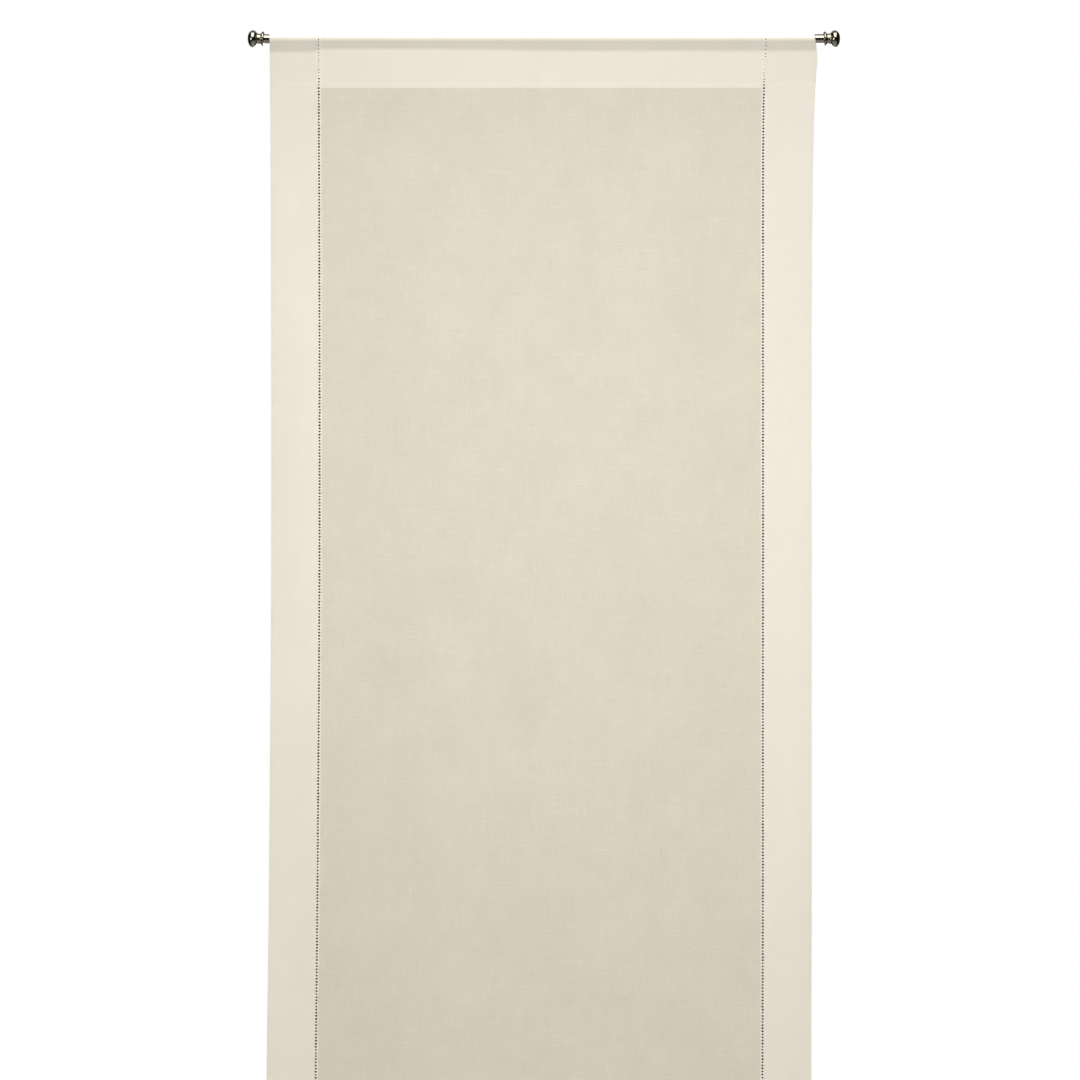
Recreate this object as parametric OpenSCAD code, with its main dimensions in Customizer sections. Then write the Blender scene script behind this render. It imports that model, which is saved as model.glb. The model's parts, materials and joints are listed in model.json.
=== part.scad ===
// Linen curtain panel with a rod channel and hemstitched borders, hung on a
// two-piece extending pole with turned knob finials.
// Millimetres. The origin is on the pole's axis at mid-length, +X runs along
// the pole, +Y points to the window and +Z is up. The cloth hangs in y = 0.

/* [Panel] */
// Finished width of the panel
panel_w = 1320; // [900:10:1500]
// Finished length, from the top fold to the bottom edge
panel_l = 2740; // [1500:10:3000]
// Width of each side border, from the edge to its hemstitch
border_w = 114; // [60:1:160]
// Width of each openwork hemstitch line
hemstitch_w = 8; // [5:0.5:12]
// Height of the rod channel round the pole, from the top fold to its seam
channel_h = 40.5; // [28:0.5:45]
// Depth of the top hem, from the top fold to the seam at its lower edge
top_hem = 128; // [80:1:160]
// Depth of the turned-up bottom hem
hem_depth = 114; // [60:1:200]
// Thickness of one layer of the linen
cloth_t = 0.6; // [0.4:0.1:1]

/* [Pole] */
// Outside diameter of the two outer tubes
pole_d = 22.2; // [19:0.1:30]
// Wall of the outer tubes
pole_wall = 1; // [0.8:0.1:1.5]
// Bare pole at each end, between the cloth and the finial
bare_end = 18.3; // [12:0.1:60]
// Length of the inner tube that the right half slides on
joiner_l = 800; // [500:10:900]
// Wall of the inner tube
joiner_wall = 1.2; // [0.8:0.1:1.5]

/* [Finial] */
// Largest diameter of the knob
knob_d = 41; // [36:0.5:60]
// Length of the finial, from the end of the pole to its tip
finial_l = 40; // [36:0.5:60]
// Diameter of the collar against the pole's end
collar_d = 35; // [30:0.5:50]
// Width of the collar
collar_w = 7.7; // [5:0.1:10]
// Diameter of the neck between collar and knob
neck_d = 26; // [20:0.5:32]
// Length of the push-fit plug inside the pole
plug_l = 30; // [24:1:40]

/* [Hidden] */
$fn = 96;

// Slack between the pole and the innermost layer of the channel
channel_slack = 0.5;
// Gap left where two separately moving pieces lie side by side
move_gap = 0.3;
// Straight pieces that make up the channel's arc over the pole
arc_steps = 24;
// How far a seam lies inside the edge that it holds
seam_in = 3;
// Sewing thread
thread_d = 0.5;
thread_proud = 0.3;

// Pole and cloth, from the axis outwards
pole_r = pole_d / 2;
bore_r = pole_r - pole_wall;
face_r = pole_r + channel_slack + 2 * cloth_t;
pole_end = panel_w / 2 + bare_end;

// Heights of the cloth
channel_z = face_r - channel_h;
drop_top = face_r - top_hem;
panel_bottom = face_r - panel_l;
hem_top = panel_bottom + hem_depth;
centre_bottom = hem_top + hemstitch_w;
// The face layers meet exactly at the channel's seam
face_apex = -channel_z * face_r / (face_r - cloth_t);

// Widths of the cloth
edge_x = panel_w / 2;
border_x = edge_x - border_w;
centre_x = border_x - hemstitch_w;

// Shallow roll crimp that marks the inner end of the bracket seat
crimp_w = 1;
crimp_depth = 0.2;
crimp_x = edge_x + crimp_w / 2;

// Joiner: fixed in the left tube, free in the right one
running_gap = 0.05;
joiner_r = bore_r - running_gap;
joiner_left = 360;
rivet_x = -60;
rivet_r = 1.6;
rivet_head_r = 2.4;
rivet_head_h = 0.5;
rivet_top = pole_r - 0.05;

// Finial
stud_r = 3;
stud_gap = 0.05;
stud_in_knob = 24;
plug_r = bore_r - 0.5;
ring_section_r = 1;
ring_centre_r = bore_r - running_gap - ring_section_r;
ring_groove_r = ring_centre_r - ring_section_r;
ring_groove_w = 2.2;
ring_places = [-8, -22];
neck_at = collar_w + 3.7;
knob_widest = 27.4;
front_squareness = 2.5;
collar_edge = 1;

// Care label on the back of the left border
label_w = 30;
label_h = 55;
label_t = 0.3;
label_in = 16;
label_up = 150;

// Colours
linen = [0.84, 0.81, 0.74];
linen_double = [0.92, 0.89, 0.83];
thread_colour = [0.95, 0.93, 0.88];
nickel = [0.25, 0.24, 0.23];
nylon = [0.12, 0.12, 0.12];

// ---- Shapes that repeat ----

// Extrudes a (y, z) outline along the pole from x0 to x1
module along_x(x0, x1) {
    translate([x0, 0, 0])
        rotate([90, 0, 90])
            linear_extrude(x1 - x0)
                children();
}

// Lathes an (outward distance, radius) outline about the pole's axis.
// side is -1 at the left end and 1 at the right end.
module lathe(side) {
    translate([side * pole_end, 0, 0])
        rotate([0, side * 90, 0])
            rotate_extrude()
                children();
}

// Outline of an arc of radius r over the pole, with two straight flanks that
// run down from it to a point
function teardrop(r) =
    let (
        apex = face_apex * r / face_r,
        flank = asin(r / apex),
        arc_step = (180 + 2 * flank) / arc_steps
    )
    concat([[0, -apex]],
        [for (i = [0 : arc_steps]) [r * cos(i * arc_step - flank), r * sin(i * arc_step - flank)]]);

// Section of the top hem: the channel round the pole, then front and back
// layers lying together down to the lower edge
module top_hem_section(layers) {
    polygon_clear = 2 * face_r;
    difference() {
        polygon(teardrop(face_r));
        polygon(teardrop(face_r - layers * cloth_t));
        translate([-polygon_clear, channel_z - polygon_clear])
            square([2 * polygon_clear, polygon_clear]);
    }
    translate([-cloth_t, drop_top])
        square([2 * layers * cloth_t, channel_z - drop_top]);
}

// Flat hanging cloth between two sides and two heights
module hanging_cloth(x0, x1, z0, z1, layers) {
    translate([x0, -cloth_t, z0])
        cube([x1 - x0, layers * cloth_t, z1 - z0]);
}

// A line of sewing seen on the front and back of cloth in that many layers
module seam_line(x0, x1, z, layers) {
    for (face_y = [-cloth_t - thread_proud, (layers - 1) * cloth_t])
        translate([x0, face_y, z - thread_d / 2])
            cube([x1 - x0, thread_proud, thread_d]);
}

// ---- Pole ----

module outer_tube(x0, x1, side) {
    difference() {
        along_x(x0, x1)
            difference() {
                circle(pole_r);
                circle(bore_r);
            }
        translate([side * crimp_x - crimp_w / 2, 0, 0])
            rotate([0, 90, 0])
                difference() {
                    cylinder(r = pole_r + 1, h = crimp_w);
                    translate([0, 0, -1])
                        cylinder(r = pole_r - crimp_depth, h = crimp_w + 2);
                }
    }
}

// Hole through both walls, with a recess that keeps the head flush
module rivet_hole() {
    translate([rivet_x, 0, -pole_r - 1])
        cylinder(r = rivet_r + running_gap, h = pole_r);
    translate([rivet_x, 0, -pole_r - 1])
        cylinder(r = rivet_head_r + running_gap, h = 1 + pole_r - rivet_top + rivet_head_h);
}

module left_tube() {
    color(nickel)
        difference() {
            outer_tube(-pole_end, 0, -1);
            rivet_hole();
        }
}

module right_tube() {
    color(nickel)
        outer_tube(move_gap, pole_end, 1);
}

module joiner_tube() {
    color("silver")
        difference() {
            along_x(-joiner_left, joiner_l - joiner_left)
                difference() {
                    circle(joiner_r);
                    circle(joiner_r - joiner_wall);
                }
            rivet_hole();
        }
}

// Flush rivet through both walls on the underside
module joiner_rivet() {
    shank_end = joiner_r - joiner_wall - 1;
    color("silver")
        translate([rivet_x, 0, -rivet_top]) {
            cylinder(r = rivet_head_r, h = rivet_head_h);
            cylinder(r = rivet_r, h = rivet_top - shank_end);
        }
}

// ---- Finials ----

module knob(side) {
    steps = 12;
    cove = [for (i = [0 : steps])
        [neck_d / 2 + (knob_d - neck_d) / 4 * (1 - cos(180 * i / steps)),
         neck_at + (knob_widest - neck_at) * i / steps]];
    front = [for (i = [1 : steps])
        let (a = 90 * i / steps)
        [knob_d / 2 * pow(cos(a), 2 / front_squareness),
         knob_widest + (finial_l - knob_widest) * pow(sin(a), 2 / front_squareness)]];
    color(nickel)
        lathe(side)
            difference() {
                polygon(concat([[0, collar_w], [neck_d / 2 + 1, collar_w]], cove, front));
                translate([0, collar_w - 1])
                    square([stud_r + stud_gap, stud_in_knob - collar_w + 1.5]);
            }
}

module collar(side) {
    color(nickel)
        lathe(side)
            difference() {
                polygon([
                    [0, 0], [collar_d / 2 - collar_edge, 0], [collar_d / 2, collar_edge],
                    [collar_d / 2, collar_w - collar_edge], [collar_d / 2 - collar_edge, collar_w],
                    [0, collar_w]
                ]);
                translate([0, -1])
                    square([stud_r + stud_gap, collar_w + 2]);
            }
}

module plug(side) {
    color(nylon)
        lathe(side)
            difference() {
                translate([stud_r + stud_gap, -plug_l])
                    square([plug_r - stud_r - stud_gap, plug_l]);
                for (s = ring_places)
                    translate([ring_groove_r - stud_gap, s - ring_groove_w / 2])
                        square([plug_r, ring_groove_w]);
            }
}

module stud(side) {
    color("silver")
        lathe(side)
            translate([0, 1 - plug_l])
                square([stud_r, plug_l - 1 + stud_in_knob]);
}

// Two rubber rings that grip the bore of the pole
module o_rings(side) {
    color("black")
        lathe(side)
            for (s = ring_places)
                translate([ring_centre_r, s])
                    circle(ring_section_r, $fn = 24);
}

module left_finial_knob() { knob(-1); }
module left_finial_collar() { collar(-1); }
module left_finial_plug() { plug(-1); }
module left_finial_stud() { stud(-1); }
module left_finial_o_rings() { o_rings(-1); }
module right_finial_knob() { knob(1); }
module right_finial_collar() { collar(1); }
module right_finial_plug() { plug(1); }
module right_finial_stud() { stud(1); }
module right_finial_o_rings() { o_rings(1); }

// ---- Centre of the cloth ----

module centre_top_hem() {
    color(linen)
        along_x(-centre_x, centre_x - move_gap)
            top_hem_section(1);
}

module centre_cloth() {
    color(linen)
        hanging_cloth(-centre_x, centre_x - move_gap, centre_bottom, drop_top, 1);
}

module bottom_hemstitch() {
    color(thread_colour)
        hanging_cloth(-centre_x, centre_x - move_gap, hem_top, centre_bottom, 1);
}

module bottom_hem() {
    color(linen_double)
        hanging_cloth(-centre_x, centre_x - move_gap, panel_bottom, hem_top, 2);
}

module top_hem_thread() {
    color(thread_colour)
        seam_line(-centre_x, centre_x - move_gap, drop_top + seam_in, 2);
}

module channel_thread() {
    color(thread_colour)
        seam_line(-centre_x, centre_x - move_gap, channel_z - seam_in, 2);
}

module bottom_hem_thread() {
    color(thread_colour)
        seam_line(-centre_x, centre_x - move_gap, hem_top - seam_in, 2);
}

// ---- Left side of the cloth ----

module left_top_hem() {
    color(linen_double)
        along_x(-edge_x, -border_x)
            top_hem_section(2);
}

module left_border() {
    color(linen_double)
        hanging_cloth(-edge_x, -border_x, panel_bottom, drop_top, 2);
}

module left_hemstitch_top() {
    color(thread_colour)
        along_x(-border_x, -centre_x)
            top_hem_section(1);
}

module left_hemstitch() {
    color(thread_colour)
        hanging_cloth(-border_x, -centre_x, panel_bottom, drop_top, 1);
}

module left_top_hem_thread() {
    color(thread_colour)
        seam_line(-edge_x, -border_x, drop_top + seam_in, 4);
}

module left_channel_thread() {
    color(thread_colour)
        seam_line(-edge_x, -border_x, channel_z - seam_in, 4);
}

module care_label() {
    color("white")
        translate([label_in - edge_x, cloth_t, panel_bottom + label_up])
            cube([label_w, label_t, label_h]);
}

// ---- Right side of the cloth, which draws along the pole ----

module right_top_hem() {
    color(linen_double)
        along_x(border_x, edge_x)
            top_hem_section(2);
}

module right_border() {
    color(linen_double)
        hanging_cloth(border_x, edge_x, panel_bottom, drop_top, 2);
}

module right_hemstitch_top() {
    color(thread_colour)
        along_x(centre_x, border_x)
            top_hem_section(1);
}

module right_hemstitch() {
    color(thread_colour)
        hanging_cloth(centre_x, border_x, panel_bottom, drop_top, 1);
}

module right_top_hem_thread() {
    color(thread_colour)
        seam_line(border_x, edge_x, drop_top + seam_in, 4);
}

module right_channel_thread() {
    color(thread_colour)
        seam_line(border_x, edge_x, channel_z - seam_in, 4);
}

left_tube();
joiner_tube();
joiner_rivet();
right_tube();
left_finial_knob();
left_finial_collar();
left_finial_plug();
left_finial_stud();
left_finial_o_rings();
right_finial_knob();
right_finial_collar();
right_finial_plug();
right_finial_stud();
right_finial_o_rings();
centre_top_hem();
centre_cloth();
bottom_hemstitch();
bottom_hem();
channel_thread();
top_hem_thread();
bottom_hem_thread();
left_top_hem();
left_border();
left_hemstitch_top();
left_hemstitch();
left_channel_thread();
left_top_hem_thread();
care_label();
right_top_hem();
right_border();
right_hemstitch_top();
right_hemstitch();
right_channel_thread();
right_top_hem_thread();
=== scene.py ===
"""Looks of the rod pocket curtain panel, its extending pole and its finials.

Metres, in the CAD model's own frame: +X along the pole, +Y to the window, +Z up.
Every piece of cloth is laid out flat first, as x across, s along the cloth from
the top of the pole (positive down the front, negative down the back) and w out
from its surface. hang() then puts those points where they hang.
"""

import json
import math

import bmesh
import bpy
import mathutils
import numpy as np
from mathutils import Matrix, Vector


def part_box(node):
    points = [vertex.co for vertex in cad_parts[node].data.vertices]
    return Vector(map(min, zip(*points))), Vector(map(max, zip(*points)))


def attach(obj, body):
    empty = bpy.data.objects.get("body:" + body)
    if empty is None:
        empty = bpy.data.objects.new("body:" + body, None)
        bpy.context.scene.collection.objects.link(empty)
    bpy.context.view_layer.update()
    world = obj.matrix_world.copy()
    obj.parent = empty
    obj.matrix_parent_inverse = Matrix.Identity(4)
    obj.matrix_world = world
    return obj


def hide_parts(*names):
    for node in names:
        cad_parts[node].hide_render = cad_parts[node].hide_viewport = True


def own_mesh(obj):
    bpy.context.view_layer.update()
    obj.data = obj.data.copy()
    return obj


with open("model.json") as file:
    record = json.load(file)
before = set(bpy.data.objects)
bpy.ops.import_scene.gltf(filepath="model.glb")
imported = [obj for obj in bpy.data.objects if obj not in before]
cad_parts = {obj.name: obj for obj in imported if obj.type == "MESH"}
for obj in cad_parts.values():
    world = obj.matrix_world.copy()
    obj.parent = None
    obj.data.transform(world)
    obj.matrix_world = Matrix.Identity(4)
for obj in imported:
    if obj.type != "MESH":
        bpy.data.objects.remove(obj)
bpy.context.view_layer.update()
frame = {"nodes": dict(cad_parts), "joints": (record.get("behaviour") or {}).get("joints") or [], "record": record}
scene = bpy.context.scene
scene.view_settings.view_transform = "Standard"
scene.cycles.denoising_prefilter = "NONE"       # or the hemstitch's holes run together

MM = 0.001
rng = np.random.default_rng(11)     # for the openwork's and the stitches' small unevenness

# ---- Camera: level, and far enough away for a flat view ----

camera = bpy.data.objects.new("camera", bpy.data.cameras.new("camera"))
scene.collection.objects.link(camera)
camera.data.lens = 100
camera.data.sensor_width = 36
camera.location = (-0.0094, -7.278, -1.216)
camera.rotation_euler = (math.radians(90), 0, 0)
scene.camera = camera

# ---- Sizes, read off the CAD model ----


def middle(node, axis):
    low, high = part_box(node)
    return (low[axis] + high[axis]) / 2


PLY = 0.6 * MM                      # one layer of linen in the CAD model
LINEN_T = 0.5 * MM                  # and as it shows, pressed a little
SEAM_IN = 3 * MM
EDGE_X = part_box("right_border")[1].x
BORDER_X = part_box("right_border")[0].x
CENTRE_X = -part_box("centre_cloth")[0].x
LADDER_X = (BORDER_X + CENTRE_X) / 2
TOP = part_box("centre_top_hem")[1].z
CHANNEL_Z = middle("channel_thread", 2) + SEAM_IN
DROP_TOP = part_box("centre_top_hem")[0].z
CENTRE_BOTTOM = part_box("centre_cloth")[0].z
HEM_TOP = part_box("bottom_hem")[1].z
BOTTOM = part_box("left_border")[0].z
POLE_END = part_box("right_tube")[1].x


# ---- How the cloth hangs ----

NEAR_POLE = 70 * MM                 # how much of the cloth, either way, has its path in close steps
CREASE_ROUNDS = 6                   # how often that part is evened, so the seam isn't a sharp crease
OFF_CENTRE = -4.4 * MM              # the cloth hangs a little to the left of the pole's middle
NARROWER = -7 * MM                  # its right edge draws in by this much below the channel,
FLARE = 9.5                         # but stands out by this many millimetres at the top corner
CORNER = 54 * MM                    # and comes back to the pole over this height
SAG_LEFT, SAG_RIGHT = 8, 5          # millimetres that the channel's seam sags by on either side


def smooth(t):
    t = np.clip(t, 0, 1)
    return t * t * (3 - 2 * t)


def section(back_y):
    """The cloth's middle from its back edge to its front one: path length, y, z and outward normal."""
    front_y = -PLY / 2
    r = TOP - PLY / 2
    apex = -CHANNEL_Z * r / (TOP - PLY)
    flank = math.asin(r / apex)
    turn = np.linspace(0, math.pi / 2 + flank, 60)
    rise = np.linspace(0, 1, 13)[1:, None]
    sides = []
    for side, y_end, z_end in ((-1, front_y, BOTTOM), (1, back_y, DROP_TOP)):
        arc = np.column_stack([side * r * np.sin(turn), r * np.cos(turn)])
        seam = np.array([y_end, CHANNEL_Z])
        straight = arc[-1] + (seam - arc[-1]) * rise
        down = np.column_stack([np.full(400, y_end), np.linspace(CHANNEL_Z, z_end, 401)[1:]])
        sides.append(np.vstack([arc, straight, down]))
    path = np.vstack([sides[1][:0:-1], sides[0]])
    step = np.linalg.norm(np.diff(path, axis=0), axis=1)
    s = np.concatenate([[0], np.cumsum(step)])
    s -= s[len(sides[1]) - 1]
    even = np.unique(np.concatenate([s, np.linspace(-NEAR_POLE, NEAR_POLE, 281)]))
    y, z = np.interp(even, s, path[:, 0]), np.interp(even, s, path[:, 1])
    for _ in range(CREASE_ROUNDS):
        near = np.abs(even[1:-1]) < NEAR_POLE
        y[1:-1][near] = (y[:-2] + 2 * y[1:-1] + y[2:])[near] / 4
    ty, tz = np.gradient(y, even), np.gradient(z, even)
    length = np.hypot(ty, tz)
    return {"s": even, "y": y, "z": z, "ny": tz / length, "nz": -ty / length}


ONE = section(PLY / 2)
TWO = section(2.5 * PLY)
BACK_S, FRONT_S = ONE["s"][0], ONE["s"][-1]


def s_at(z):
    """Path length at which the front of the cloth passes a height below the pole."""
    return FRONT_S - (z - BOTTOM)


CHANNEL_S = s_at(CHANNEL_Z)
TOP_HEM_S = s_at(DROP_TOP)
PAINTED_SHADE_FROM = 25 * MM                # from here round the pole, painted shade stands for the pole showing through the cloth


def drape(x, y, z):
    """Moves points of the flat, straight cloth to where the real one hangs."""
    drop = np.maximum(CHANNEL_Z - z, 0)
    u = drop / 2.4
    left = (4.5 * np.sin(1.05 * math.pi * u) - 6 * u * u) * MM
    right = NARROWER * (1 - np.exp(-drop / 0.1))
    across = (x + EDGE_X) / (2 * EDGE_X)
    dx = OFF_CENTRE + left + (right - left) * across
    still_over = 1 - np.clip((TOP - z) / CORNER, 0, 1)
    flare = FLARE * np.exp(-drop / 0.3) * (1 - still_over) - 2 * still_over
    dx = dx + flare * MM * smooth((x - 0.56) / 0.1)
    below = smooth((-14 * MM - z) / (12 * MM)) * np.clip((z + 0.11) / 0.08, 0, 1)
    sag = SAG_LEFT * smooth((-0.53 - x) / 0.03) + SAG_RIGHT * smooth((x + 0.35) / 0.5)
    dz = -MM * below * sag
    dz = dz + 1.5 * MM * np.sin(5.1 * x + 0.6) * smooth((drop - 2.3) / 0.4)
    free = smooth(drop / 0.7) * (0.6 + 0.35 * drop)
    wave = 3.4 * np.sin(13.3 * x + 1.6 + 1.1 * np.sin(2.2 * z))
    wave = wave + 2.0 * np.sin(21.7 * x + 1.9 * z + 0.6)
    wave = wave + 1.6 * np.sin(7.6 * z + 2.1 * x)
    curl = 3.0 * smooth((np.abs(x) - 0.58) / 0.08) * np.sin(2.4 * z + 2.0 * np.sign(x))
    return x + dx, y + free * (wave + curl) * MM, z + dz


def hang(x, s, w, cut):
    """Points in the row frame for cloth points x, s, w on one of the sections."""
    x, s, w = np.broadcast_arrays(x, s, w)
    y = np.interp(s, cut["s"], cut["y"]) + w * np.interp(s, cut["s"], cut["ny"])
    z = np.interp(s, cut["s"], cut["z"]) + w * np.interp(s, cut["s"], cut["nz"])
    return np.stack(drape(x, y, z), axis=-1)


# ---- Meshes ----


def new_mesh(name, verts, faces, cloth=None, weld=False):
    """Links a smooth-shaded mesh object; cloth holds each vertex's x, s, w for the weave."""
    mesh = bpy.data.meshes.new(name)
    mesh.from_pydata(np.asarray(verts, float).tolist(), [], [tuple(f) for f in faces])
    if cloth is not None:
        attribute = mesh.attributes.new("cloth", "FLOAT_VECTOR", "POINT")
        attribute.data.foreach_set("vector", np.asarray(cloth, np.float32).ravel())
    if weld:
        made = bmesh.new()
        made.from_mesh(mesh)
        bmesh.ops.remove_doubles(made, verts=made.verts, dist=2e-6)
        made.to_mesh(mesh)
        made.free()
    mesh.shade_smooth()
    piece = bpy.data.objects.new(name, mesh)
    scene.collection.objects.link(piece)
    return piece


def grid_faces(rows, columns, start=0):
    i, j = np.meshgrid(np.arange(rows - 1), np.arange(columns - 1), indexing="ij")
    a = (start + i * columns + j).ravel()
    return np.column_stack([a, a + 1, a + columns + 1, a + columns])


def surface(name, x, s, w, cut):
    """A sheet of cloth from 2-D arrays of x, s and w."""
    x, s, w = np.broadcast_arrays(x, s, w)
    flat = np.stack([x, s, w], axis=-1).reshape(-1, 3)
    verts = hang(x, s, w, cut).reshape(-1, 3)
    piece = new_mesh(name, verts, grid_faces(*x.shape), cloth=flat)
    solid = piece.modifiers.new("thickness", "SOLIDIFY")
    solid.thickness = LINEN_T
    solid.offset = 0
    return piece


def with_held_ends(values):
    """Adds two close-set values inside each end, which keep the shading flat up to the edge."""
    low, high = values[0], values[-1]
    way = 1 if high > low else -1
    inner = [low + way * 0.3 * MM, low + way * 1.2 * MM, high - way * 1.2 * MM, high - way * 0.3 * MM]
    return np.sort(np.concatenate([values, inner]))[::way]


def rows_between(first, last):
    """Path lengths of a sheet's rows: close together over the pole, wider where the cloth hangs."""
    bend = CHANNEL_S + 8 * MM
    stops = [
        np.linspace(first, -bend, 10),
        np.linspace(-bend, bend, 75),
        np.linspace(bend, TOP_HEM_S + 4 * MM, 12),
        np.linspace(TOP_HEM_S + 4 * MM, last, 170),
    ]
    return with_held_ends(np.unique(np.round(np.concatenate(stops), 7)))


def fold_edge(start, fold, steps=6):
    """Two-layer outline from start out to a fold and back: positions and their w."""
    way = 1 if fold > start else -1
    run = np.linspace(start, fold - way * PLY / 2, steps)
    run = np.insert(run, 1, [start + way * 0.3 * MM, start + way * 1.2 * MM])
    turn = np.linspace(0, math.pi, 7)[1:-1]
    nose = fold - way * PLY / 2 + way * PLY / 2 * np.sin(turn)
    place = np.concatenate([run, nose, run[::-1]])
    w = np.concatenate([np.zeros(len(run)), -PLY / 2 * (1 - np.cos(turn)), np.full(len(run), -PLY)])
    return place, w


def border(name, side):
    """A side border: one strip folded at the panel's edge, open at the hemstitch."""
    across, w = fold_edge(side * BORDER_X, side * EDGE_X, 10)
    rows = rows_between(BACK_S, FRONT_S)[:, None]
    return surface(name, across[None, :], rows, w[None, :], TWO)


# ---- Openwork ----

HOLE_W, HOLE_H = 5.2 * MM, 4.8 * MM
CHANNEL_HOLES = 0.6                 # their size where they are drawn tight over the pole
LADDER_W = 10 * MM
LADDER_PITCH = 7.5 * MM
LADDER_LIFT = 0.25 * MM
BEAD = ((1, 0.26), (0.6, 0.3), (0.35, 0.42), (0.12, 0.34))


def ladder_outline(pitch):
    """Directions round a hole, with the cell's corners among them, and the cell's edge there."""
    corner = math.atan2(pitch, LADDER_W)
    quarter = [0, corner / 2, corner, corner + (math.pi / 2 - corner) / 3,
               corner + (math.pi / 2 - corner) * 2 / 3]
    turn = np.concatenate([quarter, [math.pi / 2], math.pi - np.array(quarter)[::-1]])
    turn = np.concatenate([turn, math.pi + turn[1:-1]])
    reach = np.minimum(
        LADDER_W / 2 / np.maximum(np.abs(np.cos(turn)), 1e-9),
        pitch / 2 / np.maximum(np.abs(np.sin(turn)), 1e-9),
    )
    return turn, reach


def ladder(name, centres, pitch, size, to_cloth):
    """A row of thread-bound holes. to_cloth turns (across, along, w) into x, s, w."""
    count = len(centres)
    turn, reach = ladder_outline(pitch)
    sides = len(turn)
    rings = [(t, w) for t, w in BEAD] + [(0, 0)] + [(t, -w) for t, w in BEAD[::-1]]
    grow = rng.uniform(0.88, 1.08, (count, 1)) * size[:, None]
    shift = rng.normal(0, 0.14 * MM, (count, 2))
    across, along, out = [], [], []
    for t, w in rings:
        hole_u = HOLE_W / 2 * grow * np.sign(np.cos(turn)) * np.abs(np.cos(turn)) ** 0.8
        hole_v = HOLE_H / 2 * grow * np.sign(np.sin(turn)) * np.abs(np.sin(turn)) ** 0.8
        hole_u = hole_u + shift[:, :1]
        hole_v = hole_v + shift[:, 1:]
        across.append(hole_u + (reach * np.cos(turn) - hole_u) * t)
        along.append(hole_v + (reach * np.sin(turn) - hole_v) * t)
        out.append(np.full((count, sides), LADDER_LIFT + w * MM))
    across = np.stack(across, 1)
    along = np.stack(along, 1) + centres[:, None, None]
    out = np.stack(out, 1)
    x, s, w = to_cloth(across, along, out)
    flat = np.stack([x, s, w], axis=-1).reshape(-1, 3)
    verts = hang(x, s, w, ONE).reshape(-1, 3)
    faces = []
    last = len(rings) - 1
    for cell in range(count):
        first = cell * len(rings) * sides
        for k in range(sides):
            n = (k + 1) % sides
            for r in range(last):
                a = first + r * sides
                faces.append((a + k, a + n, a + sides + n, a + sides + k))
            halfway = (turn[k] + (turn[n] if n else 2 * math.pi)) / 2
            up = math.sin(halfway)
            on_side = abs(math.cos(halfway)) * pitch > abs(up) * LADDER_W
            at_end = (cell == 0 and up < 0) or (cell == count - 1 and up > 0)
            if on_side or at_end:
                back = first + last * sides
                faces.append((first + n, first + k, back + k, back + n))
    return new_mesh(name, verts, faces, cloth=flat, weld=True)


def side_ladder(name, side):
    """One hole lies over the pole's top, and those behind it end at the cloth's back edge."""
    below = round(FRONT_S / LADDER_PITCH - 0.5)
    pitch = FRONT_S / (below + 0.5)
    behind = math.floor((-BACK_S - pitch / 2) / pitch)
    stretch = (-BACK_S - pitch / 2) / (behind * pitch)
    centres = pitch * np.arange(-behind, below + 1)
    size = np.where(np.abs(centres) < CHANNEL_S, CHANNEL_HOLES, 1.0)

    def to_cloth(across, along, out):
        past = np.minimum(along + pitch / 2, 0)
        return side * LADDER_X + across, along + past * (stretch - 1), out
    return ladder(name, centres, pitch, size, to_cloth)


def bottom_ladder(name):
    place = (s_at(CENTRE_BOTTOM) + s_at(HEM_TOP)) / 2

    def to_cloth(across, along, out):
        return along, place + across, out
    count = round(2 * CENTRE_X / LADDER_PITCH)
    pitch = 2 * CENTRE_X / count
    return ladder(name, pitch * (np.arange(count) + 0.5) - CENTRE_X, pitch, np.ones(count), to_cloth)


# ---- Sewing ----

STITCH_PITCH = 3.4 * MM
STITCH_L = 2.9 * MM
THREAD_R = 0.24 * MM
STITCH_ARCH = np.array([-0.25, 0.12, 0.2, 0.12, -0.25]) * MM


def stitches(name, x0, x1, rows, cut):
    """Straight rows of stitches from x0 to x1; each row is (s, surface w)."""
    verts, flats, faces = [], [], []
    count = max(1, round((x1 - x0) / STITCH_PITCH))
    ring = np.arange(6) * math.pi / 3
    start = 0
    for s, w in rows:
        centres = x0 + (x1 - x0) * (np.arange(count) + 0.5) / count
        lean = rng.normal(0, 0.05 * MM, count)
        for centre, tilt in zip(centres, lean):
            along = centre + np.linspace(-0.5, 0.5, 5) * STITCH_L
            sway = np.linspace(-1, 1, 5) * tilt
            x = np.repeat(along[:, None], 6, 1)
            ss = s + sway[:, None] + THREAD_R * np.cos(ring)[None, :]
            ww = w + STITCH_ARCH[:, None] + THREAD_R * np.sin(ring)[None, :]
            verts.append(hang(x, ss, ww, cut).reshape(-1, 3))
            flats.append(np.stack(np.broadcast_arrays(x, ss, ww), -1).reshape(-1, 3))
            for i in range(4):
                for k in range(6):
                    a, b = start + i * 6, (k + 1) % 6
                    faces.append((a + k, a + b, a + 6 + b, a + 6 + k))
            faces.append(tuple(start + k for k in range(5, -1, -1)))
            faces.append(tuple(start + 24 + k for k in range(6)))
            start += 30
    return new_mesh(name, np.vstack(verts), faces, cloth=np.vstack(flats))


def seam_rows(s):
    """The front and the back of a seam that goes through the top hem."""
    return ((s, LINEN_T / 2), (-s, LINEN_T / 2))


# ---- Turned metal ----


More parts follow.
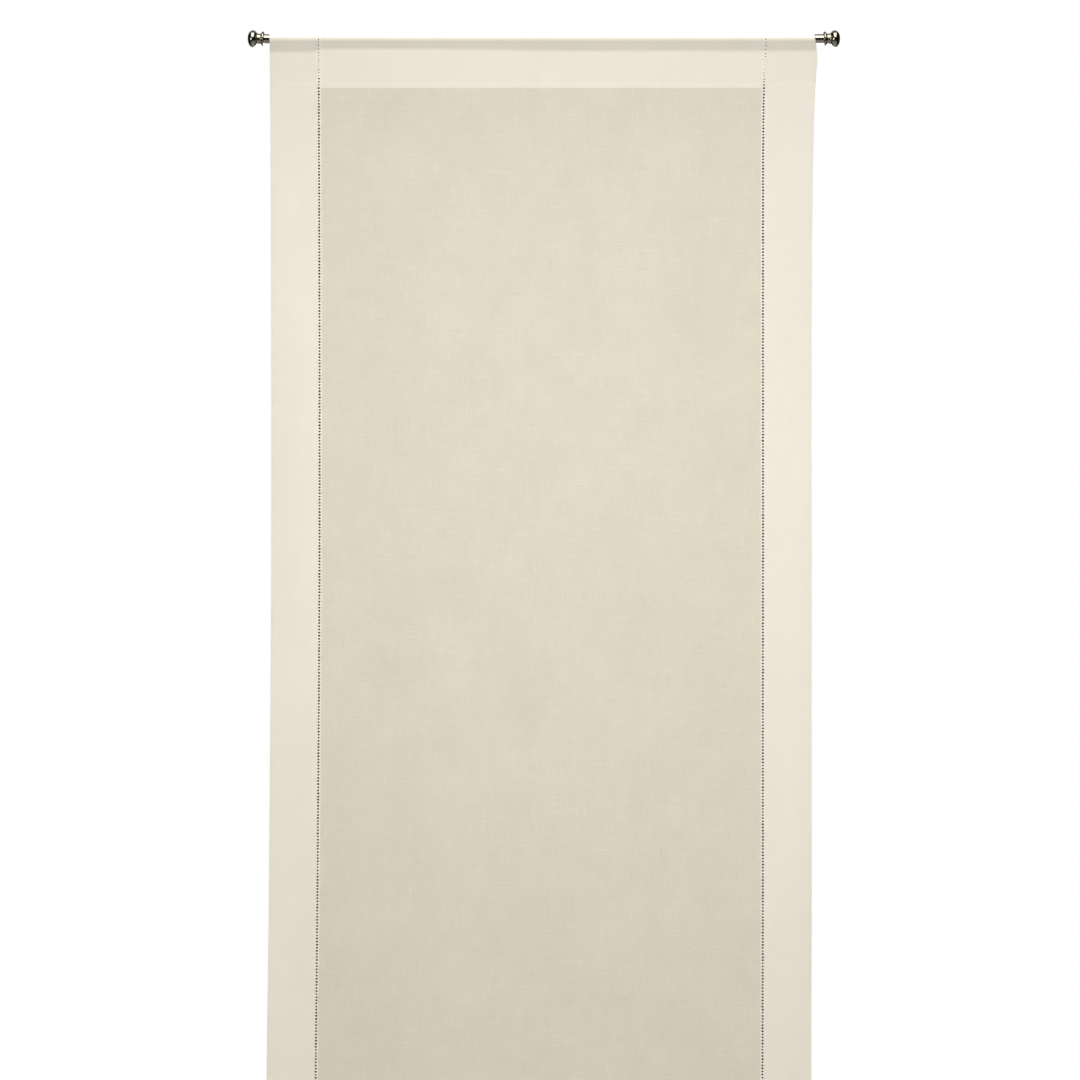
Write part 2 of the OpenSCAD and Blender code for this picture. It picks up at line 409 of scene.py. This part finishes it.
def lathed(name, side, profile, steps=96):
    """Turns (outward, radius) points about the pole's axis; 0 is the end of the pole."""
    profile = np.asarray(profile, float) * MM
    turn = np.arange(steps) * 2 * math.pi / steps
    x = side * (POLE_END + profile[:, 0])
    r = profile[:, 1]
    verts = np.stack([
        np.repeat(x[:, None], steps, 1),
        r[:, None] * np.sin(turn)[None, :],
        r[:, None] * np.cos(turn)[None, :],
    ], -1).reshape(-1, 3)
    faces = []
    for i in range(len(profile) - 1):
        for k in range(steps):
            n = (k + 1) % steps
            quad = (i * steps + k, i * steps + n, (i + 1) * steps + n, (i + 1) * steps + k)
            faces.append(quad if side > 0 else quad[::-1])
    first = tuple(range(steps))
    end = tuple((len(profile) - 1) * steps + k for k in range(steps))
    faces.append(first[::-1] if side > 0 else first)
    faces.append(end if side > 0 else end[::-1])
    return new_mesh(name, verts, faces)


def curve_through(points, steps=10):
    """Catmull-Rom curve through a few profile points."""
    p = np.asarray(points, float)
    p = np.vstack([2 * p[0] - p[1], p, 2 * p[-1] - p[-2]])
    t = np.linspace(0, 1, steps, endpoint=False)[:, None]
    out = []
    for a, b, c, d in zip(p[:-3], p[1:-2], p[2:-1], p[3:]):
        out.append(0.5 * (2 * b + (c - a) * t + (2 * a - 5 * b + 4 * c - d) * t ** 2
                          + (3 * b - a - 3 * c + d) * t ** 3))
    return np.vstack([*out, p[-2][None, :]])


def knob_profile():
    neck = curve_through([(7.7, 12.7), (9.2, 12.0), (11.2, 12.3), (13.2, 12.9),
                          (14.9, 12.7), (16.2, 13.1)], 6)
    turn = np.radians(np.linspace(-52, 88, 48))
    ball = np.column_stack([27.2 + 12.8 * np.sin(turn), 20.5 * np.cos(turn) ** 0.9])
    return np.vstack([neck, ball])


def collar_profile():
    return curve_through([(0, 12.6), (0.3, 14.9), (1.2, 16.8), (2.8, 17.4), (4.6, 17.0),
                          (6.0, 15.6), (7.0, 14.0), (7.7, 12.9)], 5)


# ---- Materials ----


def node(tree, kind, inputs=None, **settings):
    """Adds a node. inputs holds values, or sockets to link, by socket name or number."""
    made = tree.nodes.new("ShaderNode" + kind)
    for key, value in settings.items():
        setattr(made, key, value)
    for key, value in (inputs or {}).items():
        socket = made.inputs[key]
        if isinstance(value, bpy.types.NodeSocket):
            tree.links.new(value, socket)
        else:
            socket.default_value = value
    return made


def math_node(tree, operation, a, b=0.0, c=0.0):
    return node(tree, "Math", {0: a, 1: b, 2: c}, operation=operation).outputs[0]


def new_material(name):
    made = bpy.data.materials.new(name)
    made.use_nodes = True
    made.node_tree.nodes.clear()
    return made, made.node_tree


def noise_at(tree, place, size, detail=1.0, seed=0.0):
    """Noise from 0 to 1 whose spots are about size = (across, along) millimetres."""
    scale = (1 / size[0], 1 / size[1], 1)
    spot = node(tree, "VectorMath", {0: place, 1: scale, 2: (seed, seed, seed)}, operation="MULTIPLY_ADD")
    return node(tree, "TexNoise", {"Vector": spot.outputs[0], "Scale": 1.0, "Detail": detail}).outputs[0]


def about_zero(tree, value, amount):
    """amount times (value - 0.5)."""
    return math_node(tree, "MULTIPLY", math_node(tree, "SUBTRACT", value, 0.5), amount)


def slub(tree, place, size, seed, edge, amount):
    """Sparse streaks: amount where the noise is past edge, and 0 elsewhere."""
    grain = noise_at(tree, place, size, 1.0, seed)
    mask = node(tree, "MapRange", {0: grain, 1: edge, 2: edge + 0.09, 3: 0.0, 4: amount})
    return mask.outputs[0]


def add_all(tree, values):
    total = values[0]
    for value in values[1:]:
        total = math_node(tree, "ADD", total, value)
    return total


def weave_place(tree):
    """The cloth point in millimetres, as a vector and as its x and s."""
    flat = node(tree, "Attribute", attribute_name="cloth").outputs["Vector"]
    place = node(tree, "VectorMath", {0: flat, "Scale": 1000.0}, operation="SCALE").outputs[0]
    parts = node(tree, "SeparateXYZ", {0: place})
    return place, parts.outputs[0], parts.outputs[1]


def painted_light_and_shade(tree, s):
    """Painted light and shade: lighter over the pole's top, painted shade where the pole shows through, and
    painted light, a little lighter, over the hem's turned-in edge.
    """
    away = math_node(tree, "ABSOLUTE", s)

    def step(value, start, end, low, high):
        limits = {0: value, 1: start / MM, 2: end / MM, 3: low, 4: high}
        return node(tree, "MapRange", limits, interpolation_type="SMOOTHSTEP").outputs[0]

    return [
        # painted light over the pole's top, then painted shade where the pole shows through the cloth
        step(away, PAINTED_SHADE_FROM - 6 * MM, PAINTED_SHADE_FROM + 4 * MM, 0.1, -0.24),
        # the painted shade ends at the channel's seam
        step(away, CHANNEL_S - 8 * MM, CHANNEL_S + 3 * MM, 0.0, 0.24),
        # painted light over the hem's turned-in edge, which ends at the hem's edge
        step(s, TOP_HEM_S - 12 * MM, TOP_HEM_S - 9 * MM, 0.0, 0.014),
        step(s, TOP_HEM_S, TOP_HEM_S + 1 * MM, 0.0, -0.014),
    ]


def weave_height(tree, place, x, s, pitch):
    """Plain weave: yarns pass over and under each other, none of them quite even."""
    wander = about_zero(tree, noise_at(tree, place, (9, 60)), 1.2)
    drift = about_zero(tree, noise_at(tree, place, (60, 9), seed=7.0), 1.2)
    warp = math_node(tree, "SINE", math_node(tree, "MULTIPLY_ADD", x, math.pi / pitch, wander))
    weft = math_node(tree, "SINE", math_node(tree, "MULTIPLY_ADD", s, math.pi / pitch, drift))
    return math_node(tree, "MULTIPLY", warp, weft)


def linen(name, colour, through, blotch, streak, slubs):
    """Woven linen, with painted light and shade over the pole and the hem's edge. through is the share of light
    that it lets through.
    """
    made, tree = new_material(name)
    place, x, s = weave_place(tree)
    parts = [
        about_zero(tree, noise_at(tree, place, (150, 190), 2.0), blotch),
        about_zero(tree, noise_at(tree, place, (42, 60), 2.0, 3.0), blotch * 0.7),
        about_zero(tree, noise_at(tree, place, (1.7, 130), 1.0, 5.0), streak),
        about_zero(tree, noise_at(tree, place, (130, 1.7), 1.0, 9.0), streak),
        slub(tree, place, (58, 2.8), 13.0, 0.66, slubs),
        slub(tree, place, (2.8, 64), 17.0, 0.67, slubs),
        slub(tree, place, (46, 2.6), 23.0, 0.66, -slubs),
        slub(tree, place, (2.6, 52), 29.0, 0.67, -slubs),
        1.0,
    ]
    # tone: random blotches, streaks and slubs, plus the painted light and shade over the pole and the hem's edge
    tone = add_all(tree, parts + painted_light_and_shade(tree, s))
    shade = node(tree, "VectorMath", {0: colour, "Scale": tone}, operation="SCALE").outputs[0]
    weave = weave_height(tree, place, x, s, 0.72)
    fuzz = about_zero(tree, noise_at(tree, place, (0.9, 0.9), 2.0, 31.0), 0.9)
    bump = node(tree, "Bump", {"Strength": 0.35, "Distance": 0.0002,
                               "Height": math_node(tree, "ADD", weave, fuzz)})
    face = node(tree, "BsdfPrincipled", {
        "Base Color": shade, "Roughness": 0.92, "Specular IOR Level": 0.25,
        "Sheen Weight": 0.12, "Sheen Roughness": 0.45, "Normal": bump.outputs[0]})
    back = node(tree, "BsdfTranslucent", {"Color": shade, "Normal": bump.outputs[0]})
    mixed = node(tree, "MixShader", {0: through, 1: face.outputs[0], 2: back.outputs[0]})
    node(tree, "OutputMaterial", {0: mixed.outputs[0]})
    return made


def thread(name, colour, pitch):
    """Twisted sewing thread, with a soft shine, and the linen's painted light and shade over the pole and the
    hem's edge.
    """
    made, tree = new_material(name)
    place, x, s = weave_place(tree)
    turns = math_node(tree, "MULTIPLY", math_node(tree, "ADD", x, s), 2 * math.pi / pitch)
    twist = math_node(tree, "SINE", turns)
    uneven = about_zero(tree, noise_at(tree, place, (6, 6), 2.0), 0.1)
    # tone: random unevenness and twist, plus the painted light and shade over the pole and the hem's edge
    tone = add_all(tree, [uneven, math_node(tree, "MULTIPLY", twist, 0.02), 1.0] + painted_light_and_shade(tree, s))
    shade = node(tree, "VectorMath", {0: colour, "Scale": tone}, operation="SCALE").outputs[0]
    bump = node(tree, "Bump", {"Strength": 0.5, "Distance": 0.0001, "Height": twist})
    face = node(tree, "BsdfPrincipled", {
        "Base Color": shade, "Roughness": 0.55, "Specular IOR Level": 0.4,
        "Sheen Weight": 0.15, "Sheen Roughness": 0.4, "Normal": bump.outputs[0]})
    node(tree, "OutputMaterial", {0: face.outputs[0]})
    return made


def rings_and_smudges(tree):
    """Fine turning marks round the pole's axis, and larger uneven patches."""
    place = node(tree, "TexCoord").outputs["Object"]
    marks = node(tree, "VectorMath", {0: place, 1: (5200, 60, 60)}, operation="MULTIPLY").outputs[0]
    fine = node(tree, "TexNoise", {"Vector": marks, "Scale": 1.0, "Detail": 2.0}).outputs[0]
    smudge = node(tree, "TexNoise", {"Vector": place, "Scale": 90.0, "Detail": 3.0}).outputs[0]
    return fine, smudge


def metal(name, colour, roughness, marks):
    """Plated metal with turning marks, slightly uneven in polish and tone."""
    made, tree = new_material(name)
    fine, smudge = rings_and_smudges(tree)
    dull = about_zero(tree, smudge, roughness * 0.5)
    lines = about_zero(tree, fine, roughness * 0.3)
    polish = add_all(tree, [dull, lines, roughness])
    tone = add_all(tree, [about_zero(tree, smudge, 0.25), 1.0])
    shade = node(tree, "VectorMath", {0: colour, "Scale": tone}, operation="SCALE").outputs[0]
    bump = node(tree, "Bump", {"Strength": marks, "Distance": 0.00002, "Height": fine})
    face = node(tree, "BsdfPrincipled", {
        "Base Color": shade, "Metallic": 1.0, "Roughness": polish, "Normal": bump.outputs[0]})
    node(tree, "OutputMaterial", {0: face.outputs[0]})
    return made


def moulded(name, colour, roughness, grain):
    """Moulded plastic or rubber with a fine grain."""
    made, tree = new_material(name)
    fine, smudge = rings_and_smudges(tree)
    tone = add_all(tree, [about_zero(tree, smudge, 0.3), 1.0])
    shade = node(tree, "VectorMath", {0: colour, "Scale": tone}, operation="SCALE").outputs[0]
    polish = add_all(tree, [about_zero(tree, smudge, 0.15), roughness])
    bump = node(tree, "Bump", {"Strength": grain, "Distance": 0.0001, "Height": smudge})
    face = node(tree, "BsdfPrincipled", {
        "Base Color": shade, "Roughness": polish, "Normal": bump.outputs[0]})
    node(tree, "OutputMaterial", {0: face.outputs[0]})
    return made


LOOKS = {
    # Painted shade: linen_single is the same linen as linen_double, with its colour painted darker where the cloth
    # is a single layer.
    "linen_single": linen("linen_single", (0.80, 0.745, 0.625), 0.16, 0.08, 0.05, 0.085),
    "linen_double": linen("linen_double", (0.88, 0.825, 0.72), 0.05, 0.04, 0.02, 0.018),
    "hemstitch": thread("hemstitch", (0.90, 0.85, 0.755), 0.9),
    "sewing_thread": thread("sewing_thread", (0.9, 0.85, 0.75), 0.8),
    "label_tape": linen("label_tape", (0.9, 0.9, 0.87), 0.05, 0.01, 0.05, 0.0),
    "pole_metal": metal("pole_metal", (0.24, 0.225, 0.19), 0.16, 0.25),
    "finial_metal": metal("finial_metal", (0.24, 0.225, 0.185), 0.11, 0.08),
    "joiner_metal": metal("joiner_metal", (0.52, 0.52, 0.53), 0.34, 0.3),
    "rivet_metal": metal("rivet_metal", (0.66, 0.66, 0.67), 0.3, 0.2),
    "stud_metal": metal("stud_metal", (0.5, 0.5, 0.48), 0.36, 0.4),
    "plug_plastic": moulded("plug_plastic", (0.03, 0.03, 0.032), 0.45, 0.2),
    "ring_rubber": moulded("ring_rubber", (0.02, 0.02, 0.02), 0.7, 0.3),
}


# ---- The pieces ----


def dress(piece, body, slot, *stands_for):
    """Gives a new piece its material, its body, its slot and the CAD nodes that it stands for."""
    if not piece.data.materials:
        piece.data.materials.append(LOOKS[slot])
    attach(piece, body)
    if stands_for:
        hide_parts(*stands_for)
    return piece


def dress_cad_nodes():
    slot_of = {p["node"]: p["material_slot"] for p in frame["record"]["subparts"]}
    for name, shown in frame["nodes"].items():
        shown.data.materials.clear()
        shown.data.materials.append(LOOKS[slot_of[name]])


dress_cad_nodes()


CENTRE_COLUMNS = 181


def make_centre():
    """The centre: up the back, over the pole and down to the bottom hemstitch."""
    across = with_held_ends(np.linspace(-CENTRE_X, CENTRE_X, CENTRE_COLUMNS))[None, :]
    rows = rows_between(BACK_S, s_at(CENTRE_BOTTOM))
    piece = surface("centre_linen", across, rows[:, None], 0.0, ONE)
    piece.data.materials.append(LOOKS["linen_single"])
    piece.data.materials.append(LOOKS["linen_double"])
    columns = across.shape[1] - 1
    lined = (rows[:-1] < TOP_HEM_S - 1e-6).astype(np.int32)
    piece.data.polygons.foreach_set("material_index", np.repeat(lined, columns))
    return dress(piece, "panel", "linen_single", "centre_top_hem", "centre_cloth")


def make_bottom_hem():
    along, w = fold_edge(s_at(HEM_TOP), FRONT_S, 10)
    across = with_held_ends(np.linspace(-CENTRE_X, CENTRE_X, CENTRE_COLUMNS))[None, :]
    piece = surface("bottom_hem_linen", across, along[:, None], w[:, None], ONE)
    return dress(piece, "panel", "linen_double", "bottom_hem")


centre = make_centre()
bottom_hem = make_bottom_hem()
left_border = dress(border("left_border_linen", -1), "panel", "linen_double",
                    "left_top_hem", "left_border")
right_border = dress(border("right_border_linen", 1), "leading_edge", "linen_double",
                     "right_top_hem", "right_border")
left_ladder = dress(side_ladder("left_hemstitch_threads", -1), "panel", "hemstitch",
                    "left_hemstitch_top", "left_hemstitch")
right_ladder = dress(side_ladder("right_hemstitch_threads", 1), "leading_edge", "hemstitch",
                     "right_hemstitch_top", "right_hemstitch")
low_ladder = dress(bottom_ladder("bottom_hemstitch_threads"), "panel", "hemstitch", "bottom_hemstitch")


def make_seams():
    """Each seam's stitches, in three lengths: left border, centre and right border."""
    seams = {}
    heights = {
        "channel": seam_rows(CHANNEL_S + SEAM_IN),
        "top_hem": seam_rows(TOP_HEM_S - SEAM_IN),
    }
    for seam, rows in heights.items():
        spans = {
            "left_": (-EDGE_X + 1 * MM, -BORDER_X - 1 * MM, "panel", TWO),
            "": (-CENTRE_X + 1 * MM, CENTRE_X - 1 * MM, "panel", ONE),
            "right_": (BORDER_X + 1 * MM, EDGE_X - 1 * MM, "leading_edge", TWO),
        }
        for part, (x0, x1, body, cut) in spans.items():
            piece = stitches(f"{part}{seam}_stitches", x0, x1, rows, cut)
            seams[part + seam] = dress(piece, body, "sewing_thread", f"{part}{seam}_thread")
    low = s_at(HEM_TOP) + SEAM_IN
    rows = ((low, LINEN_T / 2), (low, -PLY - LINEN_T / 2 - 0.1 * MM))
    piece = stitches("bottom_hem_stitches", -CENTRE_X + 1 * MM, CENTRE_X - 1 * MM, rows, ONE)
    seams["bottom_hem"] = dress(piece, "panel", "sewing_thread", "bottom_hem_thread")
    return seams


seams = make_seams()


def make_label():
    """A blank woven label, sewn to the back of the left border along its top edge."""
    low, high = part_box("care_label")
    across = np.linspace(low.x, high.x, 9)[None, :]
    down = np.linspace(0, 1, 14)[:, None]
    s = s_at(high.z) + down * (high.z - low.z)
    stand = -PLY - LINEN_T / 2 - (0.25 + 1.6 * down ** 2) * MM
    piece = surface("blank_label", across, s, stand, TWO)
    piece.modifiers["thickness"].thickness = 0.25 * MM
    return dress(piece, "panel", "label_tape", "care_label")


label = make_label()

for side, word in ((-1, "left"), (1, "right")):
    for part, profile in (("knob", knob_profile()), ("collar", collar_profile())):
        turned = lathed(f"{word}_{part}_turned", side, profile)
        dress(turned, f"{word}_finial", "finial_metal", f"{word}_finial_{part}")

# ---- What moves, and what the sheets are cut from ----

TRAVEL = next(j for j in frame["joints"] if j["name"] == "edge_draw")["range_m"][1]
KEPT = 1 - TRAVEL / (2 * CENTRE_X)
STIFF_END = 6 * MM                  # how much of each end moves with the ladder it is sewn to
FOLDS = 11                          # full waves across the centre when it is drawn open
WIDE, FINE = 20.7 * MM, 6.5 * MM    # how deep they get, below the top hem and round the pole


def store(piece, name, kind, values):
    attribute = piece.data.attributes.new(name, kind, "POINT")
    field = "vector" if kind == "FLOAT_VECTOR" else "value"
    attribute.data.foreach_set(field, np.asarray(values, np.float32).ravel())


def fold_directions(s):
    """Which way the cloth swells and ripples as it gathers: clear of the pole, and together below it."""
    away = np.abs(s)
    out_y = np.interp(s, ONE["s"], ONE["ny"])
    out_z = np.interp(s, ONE["s"], ONE["nz"])
    normal = np.stack([np.zeros_like(s), out_y, out_z], -1)
    room_side = np.array([0.0, -1.0, 0.0])
    seam = smooth((away / CHANNEL_S - 0.75) / 0.25)[:, None]
    back = smooth(away / CHANNEL_S)[:, None]
    turn = np.where(s[:, None] < 0, np.maximum(back, seam), seam)
    ripple = normal * (1 - turn) + room_side * turn
    hanging = smooth((away - CHANNEL_S) / 0.4)[:, None]
    return normal * (1 - seam) * FINE, ripple * (1 - hanging) * FINE, room_side * hanging * WIDE


def gather_nodes():
    """Folds the squashed centre, which keeps its cloth's width and stays sewn to both ladders."""
    group = bpy.data.node_groups.new("gathers", "GeometryNodeTree")
    group.interface.new_socket("Geometry", in_out="INPUT", socket_type="NodeSocketGeometry")
    group.interface.new_socket("Geometry", in_out="OUTPUT", socket_type="NodeSocketGeometry")

    def add(kind, inputs=None, **settings):
        made = group.nodes.new(kind)
        for key, value in settings.items():
            setattr(made, key, value)
        for key, value in (inputs or {}).items():
            if isinstance(value, bpy.types.NodeSocket):
                group.links.new(value, made.inputs[key])
            else:
                made.inputs[key].default_value = value
        return made

    def stored(name, kind):
        return add("GeometryNodeInputNamedAttribute", {0: name}, data_type=kind).outputs[0]

    def calc(operation, a, b=0.0, c=0.0):
        return add("ShaderNodeMath", {0: a, 1: b, 2: c}, operation=operation).outputs[0]

    def scaled(vector, factor):
        return add("ShaderNodeVectorMath", {0: vector, "Scale": factor}, operation="SCALE").outputs[0]

    def plus(a, b):
        return add("ShaderNodeVectorMath", {0: a, 1: b}, operation="ADD").outputs[0]

    start, end = add("NodeGroupInput"), add("NodeGroupOutput")

    def furthest(value):
        measure = add("GeometryNodeAttributeStatistic", {"Geometry": start.outputs[0], 2: value})
        return measure.outputs["Max"]

    now = add("ShaderNodeSeparateXYZ", {0: add("GeometryNodeInputPosition").outputs[0]}).outputs[0]
    rest = stored("hung_x", "FLOAT")
    flat_x = add("ShaderNodeSeparateXYZ", {0: stored("cloth", "FLOAT_VECTOR")}).outputs[0]
    edge_rest = furthest(rest)
    edge_lost = calc("SUBTRACT", edge_rest, furthest(now))
    share = calc("DIVIDE", edge_lost, calc("MULTIPLY", calc("ADD", edge_rest, CENTRE_X), 1 - KEPT))
    moving = CENTRE_X - STIFF_END
    across = add("ShaderNodeMapRange", {0: flat_x, 1: -moving, 2: moving}).outputs[0]
    wanted = calc("MULTIPLY", calc("MULTIPLY", share, TRAVEL), across)
    slide = calc("SUBTRACT", calc("SUBTRACT", rest, now), wanted)
    ratio = calc("SUBTRACT", 1.0, calc("MULTIPLY", share, TRAVEL / (2 * moving)))
    slack = calc("MAXIMUM", calc("SUBTRACT", 0.9999, calc("MULTIPLY", ratio, ratio)), 0.0)
    depth = calc("SQRT", calc("DIVIDE", slack, 0.75))
    depth = calc("MULTIPLY", depth, stored("fold_share", "FLOAT"))
    phase = stored("fold_phase", "FLOAT")
    fine = scaled(stored("fold_ripple", "FLOAT_VECTOR"), calc("SINE", calc("MULTIPLY", phase, 3.0)))
    wide = scaled(stored("fold_wave", "FLOAT_VECTOR"), calc("SINE", phase))
    total = plus(plus(fine, wide), stored("fold_swell", "FLOAT_VECTOR"))
    along = add("ShaderNodeCombineXYZ", {0: slide}).outputs[0]
    shift = plus(scaled(total, depth), along)
    moved = add("GeometryNodeSetPosition", {"Geometry": start.outputs[0], "Offset": shift})
    group.links.new(moved.outputs[0], end.inputs[0])
    return group


def gather(piece, group):
    """Gives a piece of the cloth's centre the folds it takes up when it is drawn open."""
    flat = np.zeros(len(piece.data.vertices) * 3, np.float32)
    piece.data.attributes["cloth"].data.foreach_get("vector", flat)
    x, s, _ = flat.reshape(-1, 3).astype(float).T
    hung = np.array([v.co.x for v in piece.data.vertices])
    swell, ripple, wave = fold_directions(s)
    store(piece, "hung_x", "FLOAT", hung)
    store(piece, "fold_share", "FLOAT", smooth((CENTRE_X - STIFF_END - np.abs(x)) / 0.04))
    store(piece, "fold_phase", "FLOAT", FOLDS * math.pi * (x + CENTRE_X) / CENTRE_X)
    store(piece, "fold_swell", "FLOAT_VECTOR", swell)
    store(piece, "fold_ripple", "FLOAT_VECTOR", ripple)
    store(piece, "fold_wave", "FLOAT_VECTOR", wave)
    folds = piece.modifiers.new("gathers", "NODES")
    folds.node_group = group
    if len(piece.modifiers) > 1:
        piece.modifiers.move(len(piece.modifiers) - 1, 0)


gathers = gather_nodes()

for piece in (centre, bottom_hem, low_ladder, seams["channel"], seams["top_hem"], seams["bottom_hem"]):
    gather(piece, gathers)
    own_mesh(piece)

# ---- Floor, shade behind the openwork, and light ----


def plate(name, low, high, material):
    """A flat rectangle between two corners."""
    x0, y0, z0 = low
    x1, y1, z1 = high
    if z0 == z1:
        verts = [(x0, y0, z0), (x1, y0, z0), (x1, y1, z0), (x0, y1, z0)]
    else:
        verts = [(x0, y0, z0), (x1, y0, z0), (x1, y0, z1), (x0, y0, z1)]
    piece = new_mesh(name, verts, [(0, 1, 2, 3)])
    piece.data.materials.append(material)
    return piece


def floor_material():
    made, tree = new_material("floor_paint")
    place = node(tree, "TexCoord").outputs["Object"]
    patch = node(tree, "TexNoise", {"Vector": place, "Scale": 3.0, "Detail": 4.0}).outputs[0]
    tone = add_all(tree, [about_zero(tree, patch, 0.05), 1.0])
    shade = node(tree, "VectorMath", {0: (0.8, 0.79, 0.77), "Scale": tone}, operation="SCALE").outputs[0]
    face = node(tree, "BsdfPrincipled", {"Base Color": shade, "Roughness": 0.8})
    node(tree, "OutputMaterial", {0: face.outputs[0]})
    return made


def shade_material():
    """Painted shade behind the openwork: a dark glowing sheet, dark from the front, and nothing from behind."""
    made, tree = new_material("painted_shade_behind_openwork")
    behind = node(tree, "NewGeometry").outputs["Backfacing"]
    dark = node(tree, "Emission", {"Color": (0.08, 0.068, 0.045, 1), "Strength": 1.0})
    clear = node(tree, "BsdfTransparent")
    mixed = node(tree, "MixShader", {0: behind, 1: dark.outputs[0], 2: clear.outputs[0]})
    node(tree, "OutputMaterial", {0: mixed.outputs[0]})
    return made


plate("floor", (-4.0, -4.0, -2.8), (4.0, 1.5, -2.8), floor_material())
dim = shade_material()
# Painted shade: a dark strip behind each side hemstitch stands in for the shade seen through its holes, and only
# the camera sees it.
for side, body in ((-1, "panel"), (1, "leading_edge")):
    at = side * LADDER_X
    strip = plate(f"shade_{body}", (at - 0.035, 0.024, BOTTOM + 0.01), (at + 0.035, 0.024, -0.004), dim)
    for ray in ("diffuse", "glossy", "transmission", "shadow", "volume_scatter"):
        setattr(strip, f"visible_{ray}", False)
    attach(strip, body)


def area_light(name, place, aim, size, power):
    light = bpy.data.objects.new(name, bpy.data.lights.new(name, "AREA"))
    light.data.shape = "RECTANGLE"
    light.data.size, light.data.size_y = size
    light.data.energy = power
    light.location = place
    direction = np.array(aim, float) - np.array(place, float)
    light.rotation_mode = "QUATERNION"
    light.rotation_quaternion = mathutils.Vector(direction).to_track_quat("-Z", "Y")
    light.visible_camera = False
    scene.collection.objects.link(light)
    return light


# The key light, a strip over the pole that whitens the channel's top, and daylight from behind.
# The finials mirror only the world's studio, and the daylight.
key = area_light("key", (0.1, -3.1, -0.55), (0.1, 0, -0.9), (2.0, 1.8), 84)
above = area_light("above", (0, -0.01, 0.4), (0, -0.01, 0), (2.2, 0.06), 15)
for lamp in (key, above):
    lamp.visible_glossy = False
area_light("window", (0.1, 2.5, -0.4), (0, 0, -1.1), (1.8, 1.6), 65)


def mirror_studio(tree):
    """What shines back from metal: a band high in front, a lamp low on the left, floor and ceiling."""
    way = node(tree, "SeparateXYZ", {0: node(tree, "TexCoord").outputs["Generated"]})
    x, y, z = way.outputs

    def between(value, a, b, low, high):
        return node(tree, "MapRange", {0: value, 1: a, 2: b, 3: low, 4: high}).outputs[0]

    def times(first, *others):
        for other in others:
            first = math_node(tree, "MULTIPLY", first, other)
        return first

    sideways = math_node(tree, "ABSOLUTE", x)
    band = times(
        between(z, 0.26, 0.38, 0.0, 6.0),
        between(sideways, 0.62, 0.42, 0.0, 1.0),
        between(z, 0.985, 0.94, 0.06, 1.0),
        between(y, 0.1, -0.2, 0.08, 1.0),
    )
    lamp = times(
        between(z, -0.34, -0.24, 0.0, 5.0),
        between(z, 0.12, 0.02, 0.0, 1.0),
        between(x, -0.5, -0.6, 0.0, 1.0),
        between(x, -0.92, -0.85, 0.0, 1.0),
        between(y, 0.0, -0.2, 0.0, 1.0),
    )
    ground = between(z, -0.62, -0.85, 0.03, 1.4)
    ceiling = between(z, 0.985, 1.0, 0.0, 0.6)
    level = add_all(tree, [band, ground, ceiling, lamp])
    tint = (1.0, 0.98, 0.93)
    return node(tree, "VectorMath", {0: tint, "Scale": level}, operation="SCALE").outputs[0]


def make_world():
    """White to the camera, a studio to what shines, and an evenly dim room to everything else."""
    world = bpy.data.worlds.new("studio")
    scene.world = world
    world.use_nodes = True
    tree = world.node_tree
    tree.nodes.clear()
    mirrored = mirror_studio(tree)
    path = node(tree, "LightPath").outputs
    white = node(tree, "Background", {"Color": (1, 1, 1, 1), "Strength": 1.0}).outputs[0]
    room = node(tree, "Background", {"Color": (1.0, 0.99, 0.97, 1), "Strength": 0.22}).outputs[0]
    studio = node(tree, "Background", {"Color": mirrored, "Strength": 1.0}).outputs[0]
    unseen = node(tree, "MixShader", {0: path["Is Glossy Ray"], 1: room, 2: studio}).outputs[0]
    both = node(tree, "MixShader", {0: path["Is Camera Ray"], 1: unseen, 2: white}).outputs[0]
    node(tree, "OutputWorld", {0: both})


make_world()
